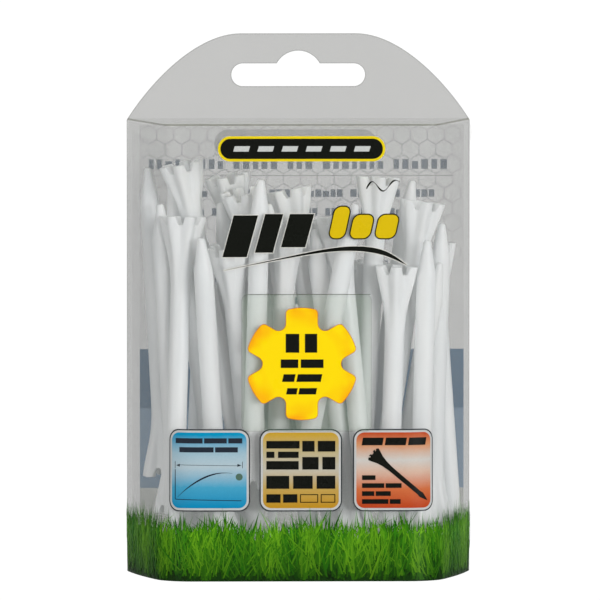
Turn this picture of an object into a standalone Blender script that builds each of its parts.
"""Clear hanging pack of thirty moulded plastic golf tees.

The pack is one folded clear sheet: a flat back that runs up into a hang tab, a bowed wrap round the
sides and front, a tuck-in lid at the top and a tuck-in closure at the base. Thirty loose tees stand in
it, some crown up and some tip up. Everything is in metres, +Z up, with the front of the pack at -Y and
the origin at the middle of the base.
"""

import math

import bmesh
import bpy
import numpy as np
from mathutils import Matrix, Vector

for old in list(bpy.data.objects):
    bpy.data.objects.remove(old, do_unlink=True)

MM = 0.001

# Driving dimensions of the pack, in millimetres.
WIDTH = 77.0            # across the back panel
BODY_HEIGHT = 102.0     # base to lid
TAB_HEIGHT = 19.0       # hang tab above the lid
OVERALL_DEPTH = 28.5    # back panel to the face of the label
SHEET = 0.4             # sheet thickness
GAP = 0.3               # clearance kept between neighbouring solids
LABEL_SHEET = 0.2       # sticker thickness
SIDE_LEAN = math.radians(16.0)   # the sides lean in towards the front

# Planes that follow from them.
BACK_OUT = OVERALL_DEPTH / 2
BACK_IN = BACK_OUT - SHEET
FRONT_OUT = -OVERALL_DEPTH / 2 + GAP + LABEL_SHEET
FRONT_IN = FRONT_OUT + SHEET
PANEL_EDGE = BACK_IN - GAP       # where the wrap and the closures stop short of the back panel
TOTAL_HEIGHT = BODY_HEIGHT + TAB_HEIGHT
LID_UNDER = BODY_HEIGHT - SHEET
WRAP_TOP = LID_UNDER - GAP

# The radius of the two front corners of the wrap, at heights up the pack. It is tightest at the lid,
# where the straight crease holds the sheet flat.
CORNER_RADII = ((0.0, 8.5), (12.0, 9.6), (30.0, 10.5), (70.0, 10.5), (86.0, 8.4), (95.0, 5.2),
                (WRAP_TOP, 3.0))
LID_CORNER = 3.0
ARC_STEPS = 6

# Tuck tabs and the glued seam.
TUCK_LENGTH = 9.5
TUCK_ANGLE = math.radians(13.0)
TUCK_CREASE = 0.4        # clearance between a closure and its tab at the crease
TUCK_REACH = TUCK_LENGTH * math.sin(TUCK_ANGLE) + SHEET + GAP   # how far a tab stands off its wall
TUCK_HALF = 28.0
BASE_TUCK_SHARE = 0.78   # of that width, so that the base tab fits between the wrap's round corners
TUCK_TAPER = 3.0
TUCK_CORNER = 3.0
SEAM_WIDTH = 8.0

# Hang tab: flat on top, with curved sides that come down to the body's corners.
TAB_FLAT = 12.9          # half the flat top
TAB_HANDLE = 10.0        # length of each side curve's handles
TAB_FOOT = math.radians(58.0)    # slope of the side where it meets the body
TAB_STEPS = 8

# Hang slot of the usual two-ended shape with a domed middle.
SLOT_HALF = 15.0
SLOT_RADIUS = 2.55
SLOT_Z = TOTAL_HEIGHT - 9.3
DOME_RADIUS = 5.5
DOME_TOP = 5.4           # above the slot's centre line

# Size label on the front.
LABEL_X = (-13.2, 15.8)
LABEL_Z = (33.5, 64.2)
LABEL_CORNER = 1.5

# The tee.
TEE_LENGTH = 69.0
PRONGS = 6
CROWN_RADIUS = 5.45
SHAFT_RADIUS = 2.3
TIP_RADIUS = 0.9
# Distance from the crown, radius over the prongs, radius between them.
TEE_PROFILE = ((0.0, CROWN_RADIUS, 4.25), (3.4, 4.7, 3.7), (6.6, 3.8, 3.1), (10.0, 2.9, 2.65),
               (15.5, SHAFT_RADIUS, SHAFT_RADIUS), (60.0, SHAFT_RADIUS, SHAFT_RADIUS),
               (67.6, 1.35, 1.35), (TEE_LENGTH, TIP_RADIUS, TIP_RADIUS))
NOTCH_DEPTH = 2.4        # how far the gaps between the prongs come down
NOTCH_RADIUS = 4.0
PRONG_WALL = 1.2
CUP_DEPTH = 4.2

# How the tees nearest the front stand: crown up or not, x at the upper and lower end, y at the upper and
# lower end, height of the upper end. The push-apart below moves them until nothing touches.
FRONT_TEES = (
    (False, -33.5, -30.0, 8.5, 6.0, 91.0),
    (True, -26.4, -30.5, -4.5, -3.5, 81.0),
    (False, -29.3, -19.5, 4.0, 3.0, 87.5),
    (True, -19.2, -18.7, 1.0, 3.0, 92.5),
    (False, -15.0, -26.0, -8.5, -5.5, 76.5),
    (False, 0.4, -15.5, -9.5, -6.0, 89.5),
    (True, 1.0, -10.5, -3.5, -3.5, 80.5),
    (True, 6.0, 7.0, 6.5, 8.0, 72.0),
    (False, 19.6, -3.0, -9.5, -6.0, 84.0),
    (True, 20.6, 18.8, -5.8, -8.0, 70.0),
    (True, 25.9, 13.5, 1.0, 1.0, 84.0),
    (False, 33.6, 20.0, 9.0, 3.0, 88.0),
    (False, 28.4, 27.0, -6.5, -3.0, 75.8),
    (True, 30.0, 32.5, 6.0, 8.5, 74.0),
    (True, 14.5, 11.0, -3.0, -5.5, 81.0),
    (False, 6.0, 4.5, -4.0, -5.5, 78.0),
)
# The tees behind them are spread across the pack, half crown up and half tip up, at mixed heights.
BACK_UP_COUNT = 7
BACK_DOWN_COUNT = 7
BACK_REACH = 31.0
CROWN_HEIGHTS = (70.0, 74.5, 79.0, 83.0, 86.5, 89.5)
TIP_HEIGHTS = (70.5, 74.5, 79.0, 83.5, 88.0)
SHUFFLE_SEED = 12

# The push-apart.
ROLL_STEP = math.radians(47.0)   # each tee starts turned this much further than the one before
TEE_GAP = 0.46
FLOOR = SHEET + 0.35
PUSH_ROUNDS = 1500
PUSH_RATE = 0.02
ROLL_RATE = 0.0006
CARRY = 0.85             # share of each step that carries into the next
LONGEST_STEP = 0.6
LONGEST_TURN = 0.05
THIN = 2.9               # a shaft thinner than this radius can sit between two prongs
SLICES = np.arange(1.0, BODY_HEIGHT - 4.0, 1.5)   # heights where the tees are compared


# ---------------------------------------------------------------- materials

def material(name, colour, roughness, alpha=1.0):
    mat = bpy.data.materials.new(name)
    mat.use_nodes = True
    shader = mat.node_tree.nodes["Principled BSDF"]
    shader.inputs["Base Color"].default_value = (*colour, 1.0)
    shader.inputs["Roughness"].default_value = roughness
    shader.inputs["Metallic"].default_value = 0.0
    shader.inputs["Alpha"].default_value = alpha
    return mat


CLEAR = material("clear_sheet", (0.80, 0.81, 0.83), 0.12, 0.35)
STICKER = material("clear_sticker", (0.88, 0.90, 0.88), 0.2, 0.4)
WHITE = material("white_plastic", (0.86, 0.88, 0.90), 0.32)


# ---------------------------------------------------------------- mesh helpers

def mesh_object(name, bm, mat):
    """Turns a bmesh in millimetres into a named object with its faces pointing out."""
    bmesh.ops.scale(bm, vec=(MM, MM, MM), verts=bm.verts)
    bmesh.ops.recalc_face_normals(bm, faces=bm.faces)
    mesh = bpy.data.meshes.new(name)
    bm.to_mesh(mesh)
    bm.free()
    mesh.materials.append(mat)
    obj = bpy.data.objects.new(name, mesh)
    bpy.context.scene.collection.objects.link(obj)
    return obj


def plate(name, outline, place, thickness, mat):
    """A flat plate: outline is (u, v) pairs, and place puts a point (u, v, w) into the pack."""
    bm = bmesh.new()
    rings = [[bm.verts.new(place(u, v, w)) for u, v in outline] for w in (0.0, thickness)]
    bm.faces.new(rings[0])
    bm.faces.new(reversed(rings[1]))
    for i in range(len(outline)):
        j = (i + 1) % len(outline)
        bm.faces.new((rings[0][i], rings[0][j], rings[1][j], rings[1][i]))
    bmesh.ops.triangulate(bm, faces=bm.faces)
    return mesh_object(name, bm, mat)


def arc(cx, cy, radius, start, end, steps):
    """Points on an arc, with its angles in degrees and both ends included."""
    angles = [math.radians(start + (end - start) * i / steps) for i in range(steps + 1)]
    return [(cx + radius * math.cos(a), cy + radius * math.sin(a)) for a in angles]


def set_origin(obj, point):
    """Moves an object's origin onto its joint's axis and leaves its surface where it is."""
    offset = Vector(point) * MM
    obj.data.transform(Matrix.Translation(-offset))
    obj.location = offset


# ---------------------------------------------------------------- the pack's section

def side_x(y, inset=0.0):
    """The side wall's x at a depth y, on the outer face or inset from it."""
    return WIDTH / 2 - (BACK_OUT - y) * math.tan(SIDE_LEAN) - inset / math.cos(SIDE_LEAN)


def half_section(corner, inset):
    """The right half of the wrap's section, from the back edge round the corner to the front."""
    cy = FRONT_OUT + corner
    cx = side_x(cy, corner)
    lean = math.degrees(SIDE_LEAN)
    back_edge = (side_x(PANEL_EDGE, inset), PANEL_EDGE)
    return [back_edge, *arc(cx, cy, corner - inset, -lean, -90.0, ARC_STEPS)]


def full_section(corner, inset):
    right = half_section(corner, inset)
    return right + [(-x, y) for x, y in reversed(right)]


def front_wrap():
    bm = bmesh.new()
    levels = []
    for z, corner in CORNER_RADII:
        sections = [full_section(corner, inset) for inset in (0.0, SHEET)]
        levels.append([[bm.verts.new((x, y, z)) for x, y in section] for section in sections])
    count = len(levels[0][0])
    for low, high in zip(levels, levels[1:]):
        for i in range(count - 1):
            for skin in (0, 1):
                bm.faces.new((low[skin][i], low[skin][i + 1], high[skin][i + 1], high[skin][i]))
        for end in (0, count - 1):
            bm.faces.new((low[0][end], low[1][end], high[1][end], high[0][end]))
    for outer, inner in (levels[0], levels[-1]):
        for i in range(count - 1):
            bm.faces.new((outer[i], outer[i + 1], inner[i + 1], inner[i]))
    bmesh.ops.triangulate(bm, faces=bm.faces)
    return mesh_object("front_wrap", bm, CLEAR)


# ---------------------------------------------------------------- back panel with its hang tab

def hang_tab_half():
    """The right side of the hang tab, from the body's shoulder up to the flat top, as one cubic curve."""
    top = np.array((TAB_FLAT, TOTAL_HEIGHT))
    foot = np.array((WIDTH / 2, BODY_HEIGHT - SHEET))
    handle_top = top + TAB_HANDLE * np.array((1.0, 0.0))
    handle_foot = foot + TAB_HANDLE * np.array((-math.cos(TAB_FOOT), math.sin(TAB_FOOT)))
    points = []
    for step in range(TAB_STEPS + 1):
        t = step / TAB_STEPS
        points.append((1 - t) ** 3 * foot + 3 * t * (1 - t) ** 2 * handle_foot
                      + 3 * t * t * (1 - t) * handle_top + t ** 3 * top)
    return [tuple(point) for point in points]


def slot_outline():
    """The hang slot: two round ends, and a domed middle."""
    right = arc(SLOT_HALF - SLOT_RADIUS, SLOT_Z, SLOT_RADIUS, -90.0, 90.0, 6)
    dome_z = SLOT_Z + DOME_TOP - DOME_RADIUS
    start = math.degrees(math.asin((SLOT_Z + SLOT_RADIUS - dome_z) / DOME_RADIUS))
    right += arc(0.0, dome_z, DOME_RADIUS, start, 90.0, 5)
    return right + [(-x, z) for x, z in reversed(right[:-1])]


def back_panel():
    right = hang_tab_half()
    outline = [(WIDTH / 2, 0.0), *right, *[(-x, z) for x, z in reversed(right)], (-WIDTH / 2, 0.0)]
    panel = plate("back_panel", outline, lambda x, z, w: (x, BACK_IN + w, z), SHEET, CLEAR)
    through = 3 * SHEET
    cutter = plate("hang_slot_cutter", slot_outline(), lambda x, z, w: (x, BACK_IN - SHEET + w, z),
                   through, CLEAR)
    cutter.hide_render = True
    cutter.display_type = "WIRE"
    cut = panel.modifiers.new("hang_slot", "BOOLEAN")
    cut.object = cutter
    cut.solver = "EXACT"
    return panel


def seam_flap():
    """The glued seam: the wrap's last strip, folded flat against the inside of the back panel."""
    outer = side_x(PANEL_EDGE, SHEET) - 2 * GAP
    outline = [(-outer, 2.0), (-outer, WRAP_TOP - 2.0), (-outer + SEAM_WIDTH, WRAP_TOP - 6.0),
               (-outer + SEAM_WIDTH, 6.0)]
    return plate("seam_flap", outline, lambda x, z, w: (x, PANEL_EDGE - w, z), SHEET, CLEAR)


# ---------------------------------------------------------------- lid, base closure and their tuck tabs

def tuck_outline():
    """A tuck tab, from its crease (v = 0) to its free edge with round corners."""
    end = TUCK_HALF - TUCK_TAPER
    corner = arc(end - TUCK_CORNER, TUCK_LENGTH - TUCK_CORNER, TUCK_CORNER, 20.0, 90.0, 4)
    right = [(TUCK_HALF, 0.0), *corner]
    return right + [(-u, v) for u, v in reversed(right)]


def top_lid():
    outline = full_section(LID_CORNER, 0.0)
    lid = plate("top_lid", outline, lambda x, y, w: (x, y, LID_UNDER + w), SHEET, CLEAR)
    set_origin(lid, (0.0, FRONT_OUT, BODY_HEIGHT))
    return lid


def top_tuck():
    """Hangs from the lid's back edge, leaning forward so that it swings clear of the back panel."""
    crease = (PANEL_EDGE - 0.1, LID_UNDER - TUCK_CREASE)
    down = (-math.sin(TUCK_ANGLE), -math.cos(TUCK_ANGLE))
    inward = (-math.cos(TUCK_ANGLE), math.sin(TUCK_ANGLE))

    def place(u, v, w):
        return (u, crease[0] + v * down[0] + w * inward[0], crease[1] + v * down[1] + w * inward[1])

    tab = plate("top_tuck", tuck_outline(), place, SHEET, CLEAR)
    set_origin(tab, place(0.0, 0.0, SHEET))
    return tab


def base_flap():
    inset = SHEET + GAP
    corner = CORNER_RADII[0][1]
    flap = plate("base_flap", full_section(corner, inset), lambda x, y, w: (x, y, w), SHEET, CLEAR)
    set_origin(flap, (0.0, PANEL_EDGE, 0.0))
    return flap


def base_tuck():
    """Stands up from the base closure's front edge, inside the front wall."""
    crease = (FRONT_IN + GAP + 0.05, SHEET + TUCK_CREASE)
    up = (math.sin(TUCK_ANGLE), math.cos(TUCK_ANGLE))
    inward = (math.cos(TUCK_ANGLE), -math.sin(TUCK_ANGLE))

    def place(u, v, w):
        return (u * BASE_TUCK_SHARE, crease[0] + v * up[0] + w * inward[0],
                crease[1] + v * up[1] + w * inward[1])

    return plate("base_tuck", tuck_outline(), place, SHEET, CLEAR)


def size_label():
    """The clear size sticker on the front face, with round corners."""
    (x0, x1), (z0, z1) = LABEL_X, LABEL_Z
    centres = ((x1, z0, -90.0), (x1, z1, 0.0), (x0, z1, 90.0), (x0, z0, 180.0))
    outline = []
    for x, z, start in centres:
        cx = x + math.copysign(LABEL_CORNER, -x)
        cz = z + (LABEL_CORNER if z == z0 else -LABEL_CORNER)
        outline += arc(cx, cz, LABEL_CORNER, start, start + 90.0, 3)
    return plate("size_label", outline, lambda x, z, w: (x, FRONT_OUT - GAP - w, z), LABEL_SHEET, STICKER)


# ---------------------------------------------------------------- where the tees stand

def starting_places():
    """The front tees, then the seeded spread of tees behind them."""
    rng = np.random.RandomState(SHUFFLE_SEED)
    crown_up = [True] * BACK_UP_COUNT + [False] * BACK_DOWN_COUNT
    rng.shuffle(crown_up)
    places = list(FRONT_TEES)
    for up, x in zip(crown_up, np.linspace(-BACK_REACH, BACK_REACH, len(crown_up))):
        y = rng.uniform(-1.0, 9.0)
        height = rng.choice(CROWN_HEIGHTS if up else TIP_HEIGHTS)
        x_top, x_low = x + rng.uniform(-2.0, 2.0), x + rng.uniform(-2.0, 2.0)
        places.append((up, x_top, x_low, y, y + rng.uniform(-1.0, 1.0), height))
    return places


def radii_along(distance):
    """The tee's outer radius, and how deep its flutes are, at distances from its crown."""
    stations, prongs, valleys = zip(*TEE_PROFILE)
    inside = (distance > -1.6) & (distance < TEE_LENGTH + 0.8)
    outer = np.interp(distance, stations, prongs)
    return outer * inside, (outer - np.interp(distance, stations, valleys)) * inside


def wall_push(x, y, z, radius):
    """How far each cross-section must move in x and y to stay inside the pack's walls."""
    room = radius + GAP + 0.1
    front = FRONT_IN + room + np.where(z < TUCK_LENGTH + 2.0, TUCK_REACH, 0.0)
    dy = np.maximum(front - y, 0.0) - np.maximum(y - (PANEL_EDGE - SHEET - room), 0.0)
    limit = side_x(0.0, SHEET) + y * math.tan(SIDE_LEAN) - room / math.cos(SIDE_LEAN)
    over = np.maximum(np.abs(x) - limit, 0.0) * math.cos(SIDE_LEAN)
    dx = -np.sign(x) * over * math.cos(SIDE_LEAN)
    dy = dy + over * math.sin(SIDE_LEAN)
    corner = max(radius for _, radius in CORNER_RADII)
    cy = FRONT_OUT + corner
    out_x, out_y = np.abs(x) - side_x(cy, corner), y - cy
    reach = np.hypot(out_x, out_y)
    past = np.where((out_x > 0) & (out_y < 0), np.maximum(reach + room - (corner - SHEET), 0.0), 0.0)
    back = past / np.maximum(reach, 1e-6)
    return dx - np.sign(x) * out_x * back, dy - out_y * back


def stand_apart():
    """Moves the tees' ends sideways, and turns each tee, until no two touch.

    At every height each tee is a disc, which a thin neighbour may enter by the depth of the flutes.
    Each round pushes overlapping discs apart and turns the prongs away from their neighbours.
    """
    places = starting_places()
    crown_up = np.array([p[0] for p in places])
    top = np.array([(p[1], p[3]) for p in places])
    low = np.array([(p[2], p[4]) for p in places])
    z_top = np.array([p[5] for p in places])
    roll = ROLL_STEP * np.arange(len(places))
    others = ~np.eye(len(places), dtype=bool)[:, :, None]
    top_step, low_step, roll_step = np.zeros_like(top), np.zeros_like(low), np.zeros_like(roll)
    for _ in range(PUSH_ROUNDS):
        rise = np.sqrt(TEE_LENGTH ** 2 - ((top - low) ** 2).sum(axis=1))
        share = (SLICES[None, :] - (z_top - rise)[:, None]) / rise[:, None]
        outer, flute = radii_along(np.where(crown_up[:, None], 1.0 - share, share) * TEE_LENGTH)
        outer = outer * (TEE_LENGTH / rise)[:, None]
        centre = low[:, None, :] + (top - low)[:, None, :] * share[..., None]
        away_x = centre[:, None, :, 0] - centre[None, :, :, 0]
        away_y = centre[:, None, :, 1] - centre[None, :, :, 1]
        distance = np.hypot(away_x, away_y) + 1e-9
        phase = PRONGS * (np.arctan2(-away_y, -away_x) - roll[:, None, None])
        room = flute[:, None, :] * (outer < THIN)[None, :, :]
        nested = room * (1.0 - np.cos(phase)) / 2
        reach = outer[:, None, :] + outer[None, :, :] + TEE_GAP - nested - np.swapaxes(nested, 0, 1)
        both = (outer[:, None, :] > 0) & (outer[None, :, :] > 0) & others
        overlap = np.where(both, np.maximum(reach - distance, 0.0), 0.0)
        force_x = (away_x / distance * overlap).sum(axis=1)
        force_y = (away_y / distance * overlap).sum(axis=1)
        wall_x, wall_y = wall_push(centre[..., 0], centre[..., 1], SLICES[None, :], outer)
        inside = outer > 0
        force = np.stack((force_x + 2 * wall_x * inside, force_y + 2 * wall_y * inside), axis=2)
        lever = np.clip(share, 0.0, 1.0)[..., None]
        twist = (overlap * room * np.sin(phase) * PRONGS / 2).sum(axis=(1, 2))
        top_step = CARRY * top_step + PUSH_RATE * (force * lever).sum(axis=1)
        low_step = CARRY * low_step + PUSH_RATE * (force * (1 - lever)).sum(axis=1)
        top_step = np.clip(top_step, -LONGEST_STEP, LONGEST_STEP)
        low_step = np.clip(low_step, -LONGEST_STEP, LONGEST_STEP)
        roll_step = np.clip(CARRY * roll_step - ROLL_RATE * twist, -LONGEST_TURN, LONGEST_TURN)
        top, low, roll = top + top_step, low + low_step, roll + roll_step
    run = np.linalg.norm(top - low, axis=1)
    rise = np.sqrt(TEE_LENGTH ** 2 - run ** 2)
    low_radius = np.where(crown_up, TIP_RADIUS, CROWN_RADIUS)
    lift = np.maximum(FLOOR + low_radius * run / TEE_LENGTH - (z_top - rise), 0.0)
    return crown_up, np.column_stack((top, z_top + lift)), np.column_stack((low, z_top - rise + lift)), roll


# ---------------------------------------------------------------- the tee

def tee_mesh():
    """One tee along +Z with its tip at the bottom, and its crown of six prongs at the top."""
    bm = bmesh.new()
    sides = 2 * PRONGS

    def ring(heights, radii):
        return [bm.verts.new((r * math.cos(math.pi * i / PRONGS), r * math.sin(math.pi * i / PRONGS), h))
                for i, (h, r) in enumerate(zip(heights * PRONGS, radii * PRONGS))]

    def join(upper, lower):
        for i in range(sides):
            j = (i + 1) % sides
            bm.faces.new((upper[i], upper[j], lower[j], lower[i]))

    notch = TEE_LENGTH - NOTCH_DEPTH
    crown = ring([TEE_LENGTH, notch], [CROWN_RADIUS, NOTCH_RADIUS])
    lip = ring([TEE_LENGTH, notch], [CROWN_RADIUS - PRONG_WALL, NOTCH_RADIUS - PRONG_WALL])
    join(lip, crown)
    bottom = bm.verts.new((0.0, 0.0, TEE_LENGTH - CUP_DEPTH))
    for i in range(sides):
        bm.faces.new((lip[i], lip[(i + 1) % sides], bottom))
    above = crown
    for distance, prong, valley in TEE_PROFILE[1:]:
        height = TEE_LENGTH - distance
        below = ring([height, height], [prong, valley])
        join(above, below)
        above = below
    bm.faces.new(above)
    bmesh.ops.triangulate(bm, faces=bm.faces)
    bmesh.ops.recalc_face_normals(bm, faces=bm.faces)
    bmesh.ops.scale(bm, vec=(MM, MM, MM), verts=bm.verts)
    mesh = bpy.data.meshes.new("tee")
    bm.to_mesh(mesh)
    bm.free()
    mesh.materials.append(WHITE)
    return mesh


def stand_tees():
    mesh = tee_mesh()
    for i, (up, top, low, roll) in enumerate(zip(*stand_apart())):
        tip, crown = (low, top) if up else (top, low)
        axis = Vector(crown - tip).normalized()
        prong = Vector((math.cos(roll), math.sin(roll), 0.0))
        prong = (prong - axis * prong.dot(axis)).normalized()
        tee = bpy.data.objects.new(f"tee_{i + 1:02d}", mesh)
        bpy.context.scene.collection.objects.link(tee)
        tee.rotation_mode = "QUATERNION"
        tee.rotation_quaternion = Matrix((prong, axis.cross(prong), axis)).transposed().to_quaternion()
        tee.location = Vector(tip) * MM


back_panel()
front_wrap()
seam_flap()
top_lid()
top_tuck()
base_flap()
base_tuck()
size_label()
stand_tees()
